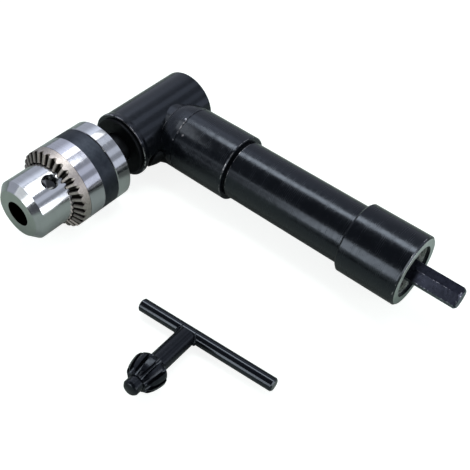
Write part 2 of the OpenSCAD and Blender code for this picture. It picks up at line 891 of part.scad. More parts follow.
// One half of the split nut, pressed into the sleeve and riding on the jaws' backs
module split_nut_half(side) {
    r = land_r + run_gap - seat_gap;
    clear = jaw_mouth_r + jaw_r / cos(jaw_angle) + 2 * run_gap;
    color(bronze)
        on_chuck()
            intersection() {
                turned([
                    [clear + nut_front * jaw_slope, nut_front + seat_gap],
                    [r, nut_front + seat_gap],
                    [r, nut_back],
                    [clear + nut_back * jaw_slope, nut_back]
                ]);
                translate([side * (chuck_d / 2 + seat_gap), 0, nut_front])
                    cube([chuck_d, 2 * chuck_d, 2 * nut_len + over], center = true);
            }
}

module split_nut_left() {
    split_nut_half(-1);
}

module split_nut_right() {
    split_nut_half(1);
}

// One jaw: a rod ground to a 120 degree wedge, with rack teeth for the nut on its back.
// It is cut as it stands when closed, then drawn back along its hole to the open place.
module jaw(i) {
    back = jaw_back - jaw_lift * cos(jaw_angle);
    rack_depth = jaw_pitch * rack_depth_share;
    rack_end = back / cos(jaw_angle);
    color(dark_steel)
        on_chuck()
            rotate([0, 0, key_hole_turn + (i - half) * jaw_turn])
                translate(jaw_lift * [sin(jaw_angle), 0, cos(jaw_angle)])
                    difference() {
                        intersection() {
                            jaw_rod(jaw_r, back);
                            translate([0, 0, -jaw_reach]) linear_extrude(chuck_len) jaw_wedge();
                        }
                        translate([jaw_mouth_r, 0, 0])
                            rotate([0, jaw_angle, 0])
                                for (z = [rack_end - jaw_pitch : -jaw_pitch : jaw_pitch])
                                    translate([jaw_r - rack_depth, -jaw_r, z])
                                        cube([jaw_r, jaw_d, jaw_pitch * rack_width_share]);
                    }
}

module jaw_wedge() {
    wide = chuck_r;
    at_grip = (grip_closed_r - wedge_gap) * tan(60);
    at_back = (wide - wedge_gap) * tan(60);
    polygon([
        [grip_closed_r, at_grip],
        [wide, at_back],
        [wide, -at_back],
        [grip_closed_r, -at_grip]
    ]);
}

module jaw_1() {
    jaw(1);
}

module jaw_2() {
    jaw(2);
}

module jaw_3() {
    jaw(3);
}

// Chuck key: pilot pin, barrel-shaped pinion and shank, notched at its end for the bar
module key_pinion() {
    tip = key_shank_len + key_pinion_len;
    r = key_pinion_r;
    color(black)
        on_table()
            difference() {
                union() {
                    turned([
                        [0, 0],
                        [key_shank_r - bar_edge, 0],
                        [key_shank_r, bar_edge],
                        [key_shank_r, key_shank_len],
                        [0, key_shank_len]
                    ]);
                    difference() {
                        turned(concat(
                            [[0, key_shank_len]],
                            [for (p = key_barrel_shares) [p[0] * r, key_shank_len + p[1] * key_pinion_len]],
                            [[0, tip]]
                        ));
                        for (i = [0 : key_teeth - 1])
                            rotate([0, 0, i * 360 / key_teeth]) key_space();
                    }
                    turned([
                        [0, tip - over],
                        [pilot_d / 2, tip - over],
                        [pilot_d / 2, key_end - 2 * bar_edge],
                        [pilot_d / 2 - bar_edge, key_end - bar_edge / 2],
                        [pilot_d / 2 - 2 * bar_edge, key_end],
                        [0, key_end]
                    ]);
                }
                rotate([0, 90, 0])
                    cylinder(h = 2 * key_shank_d, r = bar_r + seat_gap, center = true);
            }
}

// One tooth space of the key's pinion: round at its root, and it sinks towards the pilot pin
module key_space() {
    space_r = PI * key_pinion_r * key_slot_share / key_teeth;
    sink = atan((key_root_share - key_tip_share) * key_pinion_r / key_pinion_len);
    translate([key_root_share * key_pinion_r + space_r, 0, key_shank_len])
        rotate([0, -sink, 0])
            translate([0, 0, -key_shank_r]) cylinder(h = 2 * key_pinion_len, r = space_r);
}

// Bar of the key, off centre in its notch
module key_bar() {
    color(black)
        on_table()
            translate([-bar_short, 0, 0])
                rotate([0, 90, 0])
                    turned([
                        [0, 0],
                        [bar_r - bar_edge, 0],
                        [bar_r, bar_edge],
                        [bar_r, bar_short + bar_long - bar_edge],
                        [bar_r - bar_edge, bar_short + bar_long],
                        [0, bar_short + bar_long]
                    ]);
}

head_casting();
bearing_cap();
spindle();
spindle_gear();
spindle_gear_pin();
spindle_bearing_outer();
spindle_bearing_inner();
spindle_bearing_balls();
spindle_bearing_cage();
spindle_bush();
neck_sleeve();
grip_tube();
end_housing();
drive_shaft();
drive_pinion();
drive_pinion_pin();
front_bearing_outer();
front_bearing_inner();
front_bearing_balls();
front_bearing_cage();
front_circlip();
rear_bearing_outer();
rear_bearing_inner();
rear_bearing_balls();
rear_bearing_cage();
rear_bearing_shields();
rear_circlip();
chuck_body();
chuck_sleeve();
split_nut_left();
split_nut_right();
jaw_1();
jaw_2();
jaw_3();
key_pinion();
key_bar();
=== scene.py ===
import math

import bmesh
import bpy
from mathutils import Matrix, Vector


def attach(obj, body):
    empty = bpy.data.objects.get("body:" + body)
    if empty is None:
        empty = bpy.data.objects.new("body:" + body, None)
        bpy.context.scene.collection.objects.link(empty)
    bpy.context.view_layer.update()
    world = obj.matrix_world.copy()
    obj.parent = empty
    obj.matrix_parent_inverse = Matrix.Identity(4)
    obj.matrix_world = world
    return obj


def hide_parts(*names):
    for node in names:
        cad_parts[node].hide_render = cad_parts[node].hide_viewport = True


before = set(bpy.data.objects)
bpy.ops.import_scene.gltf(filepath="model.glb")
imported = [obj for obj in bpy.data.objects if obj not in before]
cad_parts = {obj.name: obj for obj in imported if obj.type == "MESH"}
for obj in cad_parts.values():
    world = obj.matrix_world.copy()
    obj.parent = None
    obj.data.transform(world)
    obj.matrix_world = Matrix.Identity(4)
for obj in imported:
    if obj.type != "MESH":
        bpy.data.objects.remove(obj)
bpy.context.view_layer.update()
scene = bpy.context.scene

# Lengths are in metres. The chuck's axis is Y, and the drive's runs along X through the crossing.
CROSSING = (0.0, 0.0787, 0.0)
CROSS_Y = CROSSING[1]
FLOOR_Z = -0.017

# The photograph's camera: its place, its three axes, and its focal length over the picture's width
CAMERA_PLACE = (0.19189, -0.12427, 0.22375)
CAMERA_RIGHT = (0.77191, 0.63282, 0.0608)
CAMERA_UP = (-0.49351, 0.53618, 0.68481)
CAMERA_BACK = (0.40076, -0.55862, 0.72618)
FOCAL_SHARE = 807.26 / 470
SENSOR_WIDTH = 36.0


def make_camera():
    data = bpy.data.cameras.new("camera")
    data.sensor_width = SENSOR_WIDTH
    data.sensor_fit = "HORIZONTAL"
    data.lens = FOCAL_SHARE * SENSOR_WIDTH
    data.clip_start = 0.01
    data.clip_end = 10
    turn = Matrix((CAMERA_RIGHT, CAMERA_UP, CAMERA_BACK)).transposed().to_4x4()
    camera = bpy.data.objects.new("camera", data)
    camera.matrix_world = Matrix.Translation(CAMERA_PLACE) @ turn
    scene.collection.objects.link(camera)
    scene.camera = camera


make_camera()


# Helpers for the shader nodes of a material or of the world
class Nodes:
    def __init__(self, owner):
        owner.use_nodes = True
        self.tree = owner.node_tree

    def put(self, value, socket):
        """Link a socket to another one, or write a number, a vector or a colour into it."""
        if isinstance(value, bpy.types.NodeSocket):
            self.tree.links.new(value, socket)
        else:
            socket.default_value = value

    def node(self, kind, **sockets):
        item = self.tree.nodes.new("ShaderNode" + kind)
        for name, value in sockets.items():
            self.put(value, item.inputs[name.replace("_", " ")])
        return item

    def math(self, operation, *values):
        item = self.node("Math")
        item.operation = operation
        for value, socket in zip(values, item.inputs):
            self.put(value, socket)
        return item.outputs[0]

    def times(self, *values):
        """The product of two or more values."""
        product = values[0]
        for value in values[1:]:
            product = self.math("MULTIPLY", product, value)
        return product

    def span(self, value, low, high, to_low=0.0, to_high=1.0, kind="LINEAR"):
        """Carry a value from one range to another, and stop at its ends."""
        item = self.node(
            "MapRange", Value=value, From_Min=low, From_Max=high, To_Min=to_low, To_Max=to_high
        )
        item.interpolation_type = kind
        return item.outputs["Result"]


# The range that noise mostly lies in, and the levels where chips begin with none and with all worn
NOISE_LOW, NOISE_HIGH = 0.3, 0.7
CHIPS_NONE, CHIPS_ALL = 0.62, 0.42


# Helpers for a material of the object
class Shader(Nodes):
    def __init__(self, name):
        self.material = bpy.data.materials.new(name)
        super().__init__(self.material)
        self.bsdf = self.tree.nodes["Principled BSDF"]
        self.place = self.node("TexCoord").outputs["Object"]
        self.xyz = None

    def axis(self, letter):
        if self.xyz is None:
            self.xyz = self.node("SeparateXYZ", Vector=self.place)
        return self.xyz.outputs["XYZ".index(letter)]

    def radius(self, letter):
        """Distance from the line along one axis through the crossing."""
        squares = []
        for other in "XYZ".replace(letter, ""):
            away = self.math("SUBTRACT", self.axis(other), CROSSING["XYZ".index(other)])
            squares.append(self.math("MULTIPLY", away, away))
        return self.math("SQRT", self.math("ADD", *squares))

    def noise(self, scale, detail=3.0, roughness=0.55, vector=None):
        item = self.node("TexNoise", Scale=scale, Detail=detail, Roughness=roughness)
        self.put(self.place if vector is None else vector, item.inputs["Vector"])
        return item.outputs["Fac"]

    def spread(self, noise, to_low=0.0, to_high=1.0):
        """Noise over its usual range, carried to another one."""
        return self.span(noise, NOISE_LOW, NOISE_HIGH, to_low, to_high)

    def chips(self, scale, share, soft):
        """Ragged chips, which cover more as the worn share grows."""
        level = CHIPS_NONE + (CHIPS_ALL - CHIPS_NONE) * share
        return self.span(self.noise(scale, 4, 0.65), level, level + soft)

    def streaks(self, scale, detail, roughness):
        """Noise with a scale of its own along each axis."""
        stretched = self.node("Mapping", Vector=self.place, Scale=scale).outputs[0]
        return self.noise(1, detail, roughness, stretched)

    def mix(self, factor, a, b):
        """From colour a to colour b."""
        item = self.node("Mix")
        item.data_type = "RGBA"
        self.put(factor, item.inputs["Factor"])
        for color, name in ((a, "A"), (b, "B")):
            self.put(color + (1.0,) if isinstance(color, tuple) else color, item.inputs[name])
        return item.outputs["Result"]

    def knock(self, point, size):
        """A ragged spot: 1 at a point and 0 beyond its size."""
        item = self.node("VectorMath")
        item.operation = "DISTANCE"
        self.put(self.place, item.inputs[0])
        self.put(point, item.inputs[1])
        ragged = self.math("MULTIPLY_ADD", self.noise(1600, 2), size, item.outputs["Value"])
        return self.span(ragged, size * 1.3, size * 1.6, 1.0, 0.0)

    def rings(self, letter, period, wobble):
        """Turning marks: fine rings along one axis, from 0 to 1, that stray by wobble in radians."""
        place = self.math("MULTIPLY", self.axis(letter), math.tau / period)
        shift = self.math("MULTIPLY", self.noise(900, 2), wobble)
        return self.span(self.math("SINE", self.math("ADD", place, shift)), -1, 1)

    def bump(self, height, distance, strength, under=None):
        item = self.node("Bump", Distance=distance, Strength=strength, Height=height)
        if under is not None:
            self.put(under, item.inputs["Normal"])
        return item.outputs["Normal"]

    def finish(self, color, roughness, normal, metallic, **flat):
        self.put(color, self.bsdf.inputs["Base Color"])
        self.put(roughness, self.bsdf.inputs["Roughness"])
        self.put(normal, self.bsdf.inputs["Normal"])
        self.put(metallic, self.bsdf.inputs["Metallic"])
        for name, value in flat.items():
            self.put(value, self.bsdf.inputs[name.replace("_", " ")])
        return self.material


# Worn edges of the enamel: place along the axis, reach, radius from which it shows, and share worn
HEAD_WEAR = (
    (0.05545, 0.00026, 0.01395, 0.9),
    (0.0981, 0.0002, 0.0133, 0.1),
)
TUBE_WEAR = (
    (0.0117, 0.00025, 0.0119, 0.7),
    (0.01995, 0.0002, 0.0139, 0.35),
    (0.0464, 0.00022, 0.0141, 0.9),
    (0.0478, 0.00025, 0.0124, 0.75),
    (0.1033, 0.0002, 0.0138, 0.1),
    (0.12903, 0.00014, 0.0146, 0.3),
)
# Small knocks through the enamel of the neck: point and size
TUBE_KNOCKS = (
    ((0.02273, 0.06867, 0.01033), 0.0005),
    ((0.01941, 0.06646, 0.00758), 0.00035),
    ((0.01929, 0.07428, 0.01371), 0.0004),
)
# The drive housing's end face is bare metal from here on, its tone tinted green as a painted
# reflection, and darker towards its foot as painted shade
END_FACE_X = 0.12964
END_FACE_TOP_Z, END_FACE_FOOT_Z = 0.006, -0.013

ENAMEL_DEEP, ENAMEL_PALE = (0.0018, 0.0024, 0.0034), (0.003, 0.0039, 0.0054)
ENAMEL_TINT = (0.84, 0.93, 1.06, 1.0)
ENAMEL_ROUGH, RING_ROUGH, END_METAL_ROUGH = (0.14, 0.22), 0.12, 0.14
DUST = (0.16, 0.16, 0.18)
WORN_METAL = (0.42, 0.415, 0.42)
# The end face's bare metal tones, tinted green as a painted reflection
END_METAL_DEEP, END_METAL_PALE = (0.38, 0.43, 0.385), (0.5, 0.55, 0.505)
# Colour of the painted shade at the end face's foot
END_FACE_FOOT_SHADE = (0.1, 0.14, 0.11)
END_METAL_SHARE, DUST_SHARE = 0.6, 0.35
# Relief of the enamel: long waves, orange peel and turning marks
WAVE_HEIGHT, PEEL_HEIGHT, RING_HEIGHT = 0.00016, 0.00005, 0.00003
RING_PERIOD, RING_WOBBLE = 0.00075, 4.0
WEAR_SOFT, FACE_SOFT = 0.00008, 0.00003


def black_enamel(name, letter, marks, wear, knocks=(), bare_from=None):
    """Black enamel over turned metal, for the head and the drive housing round one axis."""
    s = Shader(name)
    cloud = s.noise(140, 4)
    color = s.mix(s.spread(cloud), ENAMEL_DEEP, ENAMEL_PALE)
    dusty = s.span(s.noise(70, 2), 0.5, 0.62)
    specks = s.times(s.span(s.noise(900, 3, 0.7), 0.71, 0.78), dusty, DUST_SHARE)
    color = s.mix(specks, color, DUST)
    broken = s.streaks((420, 90, 90) if letter == "X" else (90, 420, 90), 3, 0.5)
    rings = s.times(s.rings(letter, RING_PERIOD, RING_WOBBLE), s.span(broken, 0.36, 0.62))
    rough = s.spread(s.noise(520, 3), *ENAMEL_ROUGH)
    rough = s.math("ADD", rough, s.times(rings, RING_ROUGH * marks))

    worn = 0.0
    for place, reach, inner, share in wear:
        away = s.math("ABSOLUTE", s.math("SUBTRACT", s.axis(letter), place))
        edge = s.span(away, reach, reach * 0.55)
        outside = s.span(s.radius(letter), inner, inner + WEAR_SOFT)
        worn = s.math("MAXIMUM", worn, s.times(edge, outside, s.chips(380, share, 0.06)))
    for point, size in knocks:
        worn = s.math("MAXIMUM", worn, s.knock(point, size))
    color = s.mix(worn, color, WORN_METAL)

    if bare_from is not None:
        face = s.span(s.axis(letter), bare_from, bare_from + FACE_SOFT)
        # Painted reflection: the bare face's tone is tinted green
        tone = s.mix(s.span(cloud, 0.35, 0.65), END_METAL_DEEP, END_METAL_PALE)
        # Painted shade: the face darkens towards its foot
        foot = s.span(s.axis("Z"), END_FACE_TOP_Z, END_FACE_FOOT_Z, 0.0, 0.75)
        color = s.mix(face, color, s.mix(foot, tone, END_FACE_FOOT_SHADE))
        worn = s.math("MAXIMUM", worn, s.times(face, END_METAL_SHARE))
        rough = s.math("ADD", rough, s.times(face, END_METAL_ROUGH))

    waves = s.bump(s.noise(95, 2, 0.4), WAVE_HEIGHT, 0.35)
    peel = s.bump(s.noise(430, 2), PEEL_HEIGHT, 0.5, waves)
    normal = s.bump(rings, RING_HEIGHT, 0.25 * marks, peel)
    return s.finish(color, rough, normal, worn, IOR=1.5, Specular_Tint=ENAMEL_TINT)


# Turned steel: how dark its streaks and stains are, its roughness, and the relief of its marks
STREAK_SHADE, STAIN_SHADE, STAIN_SHARE = 0.93, 0.72, 0.2
TURNED_ROUGH, SCRATCH_ROUGH = (0.1, 0.15), 0.06
STREAK_HEIGHT = 0.00001


def turned_steel(name, tone, zones):
    """Bright turned steel of the chuck: the marks run round its axis."""
    s = Shader(name)
    streak = s.streaks((40, 1500, 40), 3, 0.5)
    color = s.mix(s.spread(streak), tuple(c * STREAK_SHADE for c in tone), tone)
    stain = s.span(s.noise(150, 4), 0.56, 0.74, 0.0, STAIN_SHARE)
    color = s.mix(stain, color, tuple(c * STAIN_SHADE for c in tone))
    scratch = s.times(s.span(s.streaks((120, 2600, 120), 2, 0.5), 0.7, 0.76), SCRATCH_ROUGH)
    rough = s.math("ADD", s.span(streak, 0.25, 0.75, *TURNED_ROUGH), scratch)
    color, rough = zones(s, color, rough)
    normal = s.bump(streak, STREAK_HEIGHT, 0.12)
    tangent = s.node("Tangent")
    tangent.direction_type, tangent.axis = "RADIAL", "Y"
    return s.finish(color, rough, normal, 1.0, Anisotropic=0.4, Tangent=tangent.outputs[0])


# The sleeve's zones, by distance along Y from the mouth: the teeth with painted shade in their gaps,
# a fine line and a dark band
TOOTH_INNER_R, TOOTH_INNER_Y, TOOTH_SLOPE = 0.0133, 0.0164, 1.5 / 3.45
TOOTH_OUTER_R, TOOTH_FLOOR_Y = 0.0169, 0.0189
GAP_FROM_DEPTH, GAP_FULL_DEPTH, GAP_SOFT_R, GAP_SOFT_Y = 0.00012, 0.0007, 0.00006, 0.0004
TEETH_END_Y, STEEL_START_Y = 0.02215, 0.0223
LINE_Y, LINE_HALF = 0.02222, 0.0001
BAND_START_Y, BAND_SOFT, BAND_STRAY = 0.02965, 0.00017, 0.0001
TEETH_ROUGH, BAND_ROUGH, LINE_SHARE = 0.3, 0.3, 0.8

TEETH_DEEP, TEETH_PALE = (0.32, 0.29, 0.265), (0.5, 0.46, 0.425)
# Colour of the painted shade in the teeth's gaps, and of the fine line
TEETH_GAP_SHADE, LINE_COLOR = (0.012, 0.0105, 0.009), (0.06, 0.052, 0.05)
BAND_DEEP, BAND_PALE = (0.026, 0.031, 0.039), (0.046, 0.053, 0.064)


def sleeve_zones(s, color, rough):
    """Beige-grey teeth with painted shade in their gaps, a fine line, bright steel and the
    blue-black band.
    """
    y = s.axis("Y")
    r = s.radius("Y")
    grime = s.noise(1500, 3, 0.6)
    teeth = s.mix(s.span(grime, 0.32, 0.7), TEETH_DEEP, TEETH_PALE)
    rise = s.times(s.math("SUBTRACT", r, TOOTH_INNER_R), TOOTH_SLOPE)
    depth = s.math("SUBTRACT", y, s.math("ADD", rise, TOOTH_INNER_Y))
    # Painted shade: the teeth's gaps darken towards their floors
    gap_shade = s.times(
        s.span(depth, GAP_FROM_DEPTH, GAP_FULL_DEPTH),
        s.span(r, TOOTH_OUTER_R + GAP_SOFT_R, TOOTH_OUTER_R),
        s.span(y, TOOTH_FLOOR_Y + GAP_SOFT_Y, TOOTH_FLOOR_Y),
    )
    teeth = s.mix(gap_shade, teeth, TEETH_GAP_SHADE)
    color = s.mix(s.span(y, TEETH_END_Y, STEEL_START_Y), teeth, color)
    rough = s.math("ADD", rough, s.span(y, TEETH_END_Y, STEEL_START_Y, TEETH_ROUGH, 0.0))
    line = s.math("COMPARE", y, LINE_Y, LINE_HALF)
    color = s.mix(s.times(line, LINE_SHARE), color, LINE_COLOR)
    ragged = s.math("ADD", y, s.times(s.noise(900, 2), BAND_STRAY))
    band = s.span(ragged, BAND_START_Y, BAND_START_Y + BAND_SOFT)
    mottle = s.mix(s.span(s.noise(300, 5, 0.7), 0.32, 0.7), BAND_DEEP, BAND_PALE)
    color = s.mix(band, color, mottle)
    rough = s.math("ADD", rough, s.times(band, BAND_ROUGH))
    return color, rough


# The body's zones: painted shade in the mouth's bore and deep in the key holes below the surface,
# and the front face with a painted green reflection
MOUTH_R, MOUTH_SOFT, MOUTH_FROM_Y, MOUTH_FULL_Y = 0.0058, 0.00015, 0.0002, 0.0012
HOLE_R, HOLE_SOFT, HOLE_FROM_Y, HOLE_FULL_Y, HOLE_SHARE = 0.0121, 0.00055, 0.004, 0.006, 0.45
FACE_Y, FACE_END_Y, FACE_ROUGH = 0.00005, 0.0001, 0.12
# Colours of the painted shade inside the mouth and the key holes
MOUTH_SHADE, HOLE_SHADE = (0.012, 0.012, 0.013), (0.04, 0.038, 0.036)
# The front face's duller tone, tinted green as a painted reflection
FACE_TONE_AND_REFLECTION = (0.45, 0.49, 0.45)


def body_zones(s, color, rough):
    """Painted shade inside the mouth and the key holes, and a duller front face tinted green as a
    painted reflection.
    """
    r = s.radius("Y")
    y = s.axis("Y")
    mouth = s.span(r, MOUTH_R + MOUTH_SOFT, MOUTH_R)
    mouth = s.times(mouth, s.span(y, MOUTH_FROM_Y, MOUTH_FULL_Y))
    # Painted shade inside the mouth's bore
    color = s.mix(mouth, color, MOUTH_SHADE)
    # Painted shade deep in the key holes
    hole = s.span(r, HOLE_R + HOLE_SOFT, HOLE_R)
    hole = s.times(hole, s.span(y, HOLE_FROM_Y, HOLE_FULL_Y), HOLE_SHARE)
    color = s.mix(hole, color, HOLE_SHADE)
    # The duller face, tinted green as a painted reflection
    face = s.times(s.span(y, FACE_END_Y, FACE_Y), s.spread(s.noise(260, 4), 0.7, 1.0))
    color = s.mix(face, color, FACE_TONE_AND_REFLECTION)
    rough = s.math("ADD", rough, s.times(face, FACE_ROUGH))
    return color, rough


STEEL_TINT = (0.85, 0.94, 1.06, 1.0)
EDGE_COLOR, EDGE_SOFT_R, EDGE_SOFT_X = (0.25, 0.25, 0.285), 0.00006, 0.0001
STAIN_DARK, STAIN_MOST, CHIP_BRIGHT = 0.6, 0.4, 4


def dark_metal(name, low, high, rough, metal=1.0, scale=260, stretch=None, bumpy=0.00004,
               chips=0.3, ior=1.5, edges=()):
    """Darker steels and blacked pieces, from colour low to colour high.

    Each of the edges is worn, round the drive's axis: radius, place along X, and share worn.
    """
    s = Shader(name)
    grain = s.streaks(stretch, 4, 0.6) if stretch else s.noise(scale, 4, 0.6)
    color = s.mix(s.spread(grain), low, high)
    stain = s.times(s.span(s.noise(90, 3), 0.5, 0.75), STAIN_MOST)
    color = s.mix(stain, color, tuple(c * STAIN_DARK for c in low))
    worn = s.times(s.span(s.noise(520, 5, 0.7), 0.68, 0.8), chips)
    color = s.mix(worn, color, tuple(min(1.0, c * CHIP_BRIGHT + 0.02) for c in high))
    for inner, start, share in edges:
        outside = s.span(s.radius("X"), inner, inner + EDGE_SOFT_R)
        beyond = s.span(s.axis("X"), start, start + EDGE_SOFT_X)
        color = s.mix(s.times(outside, beyond, s.chips(700, share, 0.08)), color, EDGE_COLOR)
    roughness = s.spread(s.noise(scale * 1.7, 3), *rough)
    normal = s.bump(grain, bumpy, 0.4)
    return s.finish(color, roughness, normal, metal, IOR=ior, Specular_Tint=STEEL_TINT)


def bright_metal(name, low, high, rough):
    """Ground steel and bronze of the inner pieces."""
    s = Shader(name)
    grain = s.noise(500, 4, 0.6)
    color = s.mix(s.spread(grain), low, high)
    roughness = s.spread(s.noise(240, 3), *rough)
    return s.finish(color, roughness, s.bump(grain, 0.00002, 0.25), 1.0)


materials = {
    "head": black_enamel("head_enamel", "Y", 0.25, HEAD_WEAR),
    "tube": black_enamel("tube_enamel", "X", 1.0, TUBE_WEAR, TUBE_KNOCKS, END_FACE_X),
    "body": turned_steel("turned_steel", (0.575, 0.59, 0.6), body_zones),
    "sleeve": turned_steel("sleeve_steel", (0.58, 0.585, 0.62), sleeve_zones),
    "hardened": dark_metal("hardened_steel", (0.16, 0.16, 0.165), (0.3, 0.3, 0.31), (0.22, 0.36)),
    # Painted shade: the spindle, seen in the gap between the chuck and the cap, is near black
    "spindle": dark_metal(
        "spindle_shade_black", (0.002, 0.0022, 0.0024), (0.006, 0.0062, 0.0066), (0.4, 0.5),
        metal=0.0, chips=0.05, ior=1.25,
    ),
    "cap": dark_metal(
        "cap_black", (0.0012, 0.0014, 0.0016), (0.0035, 0.0038, 0.0042), (0.42, 0.55),
        metal=0.0, scale=420, chips=0.02, ior=1.25,
    ),
    "shaft": dark_metal(
        "blued_steel", (0.012, 0.013, 0.021), (0.027, 0.029, 0.044), (0.24, 0.38),
        metal=0.8, stretch=(900, 500, 500), edges=((0.00452, 0.13, 0.5), (0.0034, 0.1485, 0.35)),
    ),
    "nut": dark_metal("nut_steel", (0.2, 0.195, 0.19), (0.34, 0.33, 0.32), (0.3, 0.45)),
    "oxide": dark_metal(
        "black_oxide", (0.0018, 0.0022, 0.0034), (0.0038, 0.0044, 0.0064), (0.1, 0.17),
        metal=0.0, scale=700, bumpy=0.00001, chips=0.05,
    ),
    "key": dark_metal(
        "key_oxide", (0.0018, 0.0023, 0.0036), (0.0042, 0.0052, 0.0076), (0.18, 0.28),
        metal=0.0, scale=700, bumpy=0.00001, chips=0.06, ior=1.38,
    ),
    # The circlip's green tint is a painted reflection, like the end face's
    "circlip": dark_metal(
        "circlip_steel", (0.42, 0.47, 0.42), (0.6, 0.65, 0.6), (0.2, 0.34), metal=0.6
    ),
    "bearing": bright_metal("bearing_steel", (0.6, 0.6, 0.61), (0.75, 0.75, 0.76), (0.08, 0.18)),
    "bronze": bright_metal("bronze", (0.42, 0.27, 0.11), (0.6, 0.42, 0.2), (0.25, 0.4)),
    "shield": dark_metal(
        "shield_steel", (0.26, 0.25, 0.24), (0.4, 0.39, 0.37), (0.3, 0.45), metal=0.6
    ),
    "spring": dark_metal("spring_steel", (0.2, 0.21, 0.21), (0.36, 0.37, 0.37), (0.26, 0.4)),
}

material_nodes = {
    "head": ("head_casting",),
    "cap": ("bearing_cap",),
    "tube": ("neck_sleeve", "grip_tube", "end_housing"),
    "body": ("chuck_body",),
    "sleeve": ("chuck_sleeve",),
    "nut": ("split_nut_left", "split_nut_right"),
    "hardened": ("jaw_1", "jaw_2", "jaw_3", "spindle_gear", "drive_pinion"),
    "spindle": ("spindle",),
    "spring": ("front_circlip",),
    "circlip": ("rear_circlip",),
    "shaft": ("drive_shaft",),
    "bearing": ("spindle_gear_pin", "drive_pinion_pin") + tuple(
        f"{place}_bearing_{piece}"
        for place in ("spindle", "front", "rear") for piece in ("outer", "inner", "balls")
    ),
    "bronze": (
        "spindle_bush", "spindle_bearing_cage", "front_bearing_cage", "rear_bearing_cage",
    ),
    "shield": ("rear_bearing_shields",),
    "oxide": ("key_pinion", "key_bar"),
}


def dress(data, material):
    data.materials.clear()
    data.materials.append(materials[material])


for material, names in material_nodes.items():
    for name in names:
        dress(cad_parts[name].data, material)


def new_piece(name, data, body, material):
    obj = bpy.data.objects.new(name, data)
    scene.collection.objects.link(obj)
    dress(data, material)
    data.polygons.foreach_set("use_smooth", [True] * len(data.polygons))
    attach(obj, body)
    return obj


def loft(name, loops):
    """A closed mesh from rings of points, with a flat cap on each end."""
    count = len(loops[0])
    faces = []
    for i in range(len(loops) - 1):
        for j in range(count):
            a, b = i * count + j, i * count + (j + 1) % count
            faces.append((a, b, b + count, a + count))
    faces.append(tuple(reversed(range(count))))
    faces.append(tuple(range((len(loops) - 1) * count, len(loops) * count)))
    data = bpy.data.meshes.new(name)
    data.from_pydata([p for loop in loops for p in loop], [], faces)
    shape = bmesh.new()
    shape.from_mesh(data)
    bmesh.ops.recalc_face_normals(shape, faces=shape.faces)
    shape.to_mesh(data)
    shape.free()
    return data


# The neck where it meets the head: radii, its seam, and how far its rounded shoulder runs from it
HEAD_R, NECK_R, NECK_TIP_R = 0.014, 0.0144, 0.0121
NECK_SEAM_X, NECK_SHOULDER = 0.02, 0.0088
# The webs, black solids that fill the shade under the neck's root: degrees round the neck, depth
# under its skin, fillet at the root, and reach over the head
WEB_FROM, WEB_TURN, WEB_STEPS = -178, 80, 32
WEB_SINK, WEB_SKIN_GAP, WEB_OVERLAP = 0.0002, 0.00003, 0.0001
WEB_FILLET, WEB_LEAST_ROOT = 0.0016, 0.003
WEB_END_REACH, WEB_MORE_REACH = 0.0015, 0.0055
WEB_BULGE = Vector((0.6, 0, -0.35)) * 0.0011
WEB_INNER_Y, WEB_INNER_Z = 0.008, -0.006


def neck_point(side, x, phi, share):
    """A point on the neck: just under its skin at the web's ends, and at its widest between them."""
    turn = min(1.0, max(0.0, (NECK_SEAM_X - x) / NECK_SHOULDER))
    skin = NECK_TIP_R + (NECK_R - NECK_TIP_R) * math.sqrt(1 - turn * turn)
    r = (skin - WEB_SINK) * (1 - share) + (NECK_R - WEB_SKIN_GAP) * share
    return Vector((x, CROSS_Y + side * r * math.cos(phi), r * math.sin(phi)))


def shade_web(side):
    """A black web under the neck's root, where the neck runs out over the head: the shade there
    built as a solid.
    """
    loops = []
    first_x = NECK_SEAM_X - WEB_OVERLAP
    for i in range(WEB_STEPS + 1):
        phi = math.radians(WEB_FROM + WEB_TURN * i / WEB_STEPS)
        share = math.sin(math.pi * i / WEB_STEPS) ** 0.7
        z = NECK_R * math.sin(phi)
        root = math.sqrt(max(HEAD_R ** 2 - z ** 2, WEB_LEAST_ROOT ** 2))
        last_x = root + WEB_FILLET
        run = last_x - first_x
        loop = [neck_point(side, first_x + run * k / 8, phi, share) for k in range(9)]
        corner = loop[-1]
        foot = Vector((root, corner.y - side * (WEB_END_REACH + WEB_MORE_REACH * share), z))
        scale = (HEAD_R - WEB_OVERLAP) / math.hypot(foot.x, foot.z)
        foot.x, foot.z = foot.x * scale, foot.z * scale
        bulge = corner.lerp(foot, 0.42) + WEB_BULGE * share
        for t in (k / 10 for k in range(1, 11)):
            loop.append(corner * (1 - t) ** 2 + bulge * 2 * t * (1 - t) + foot * t * t)
        inside = Vector((0.0, CROSS_Y + side * WEB_INNER_Y * math.cos(phi), WEB_INNER_Z))
        loop += [foot.lerp(inside, 0.25), loop[0].lerp(Vector((NECK_SEAM_X, CROSS_Y, 0)), 0.12)]
        loops.append([tuple(p) for p in loop])
    return loft("shade_web", loops)


# The webs take the near-black cap finish, so that they stand in for shade
for name, side in (("shade_web_front", 1), ("shade_web_rear", -1)):
    new_piece(name, shade_web(side), "housing", "cap")

# The key's own frame: its shank along +Z and its bar along X, tipped so that it rests on the table
KEY_PLACE = (0.0798, 0.0092, -0.01331)
KEY_TURN, KEY_TIP = math.radians(4.6), math.radians(90 - 8.169)
KEY_FRAME = (
    Matrix.Translation(KEY_PLACE) @ Matrix.Rotation(KEY_TURN, 4, "Z")
    @ Matrix.Rotation(KEY_TIP, 4, "X")
)
# The key's sizes: its teeth, where their spaces begin and how they lean, its shank and its bar
KEY_TEETH = 11
SPACE_R, SPACE_Z, SPACE_LEAN = 0.00635, 0.0194, math.radians(-9.373)
SPACE_FROM, SPACE_TO = -0.003, 0.016
SPACE_DEPTH, SPACE_FLOOR_HALF, SPACE_TOP_HALF = 0.0035, 0.0007, 0.00095
SHANK_R, SHANK_START, BAR_R = 0.0038, 0.0019, 0.0026


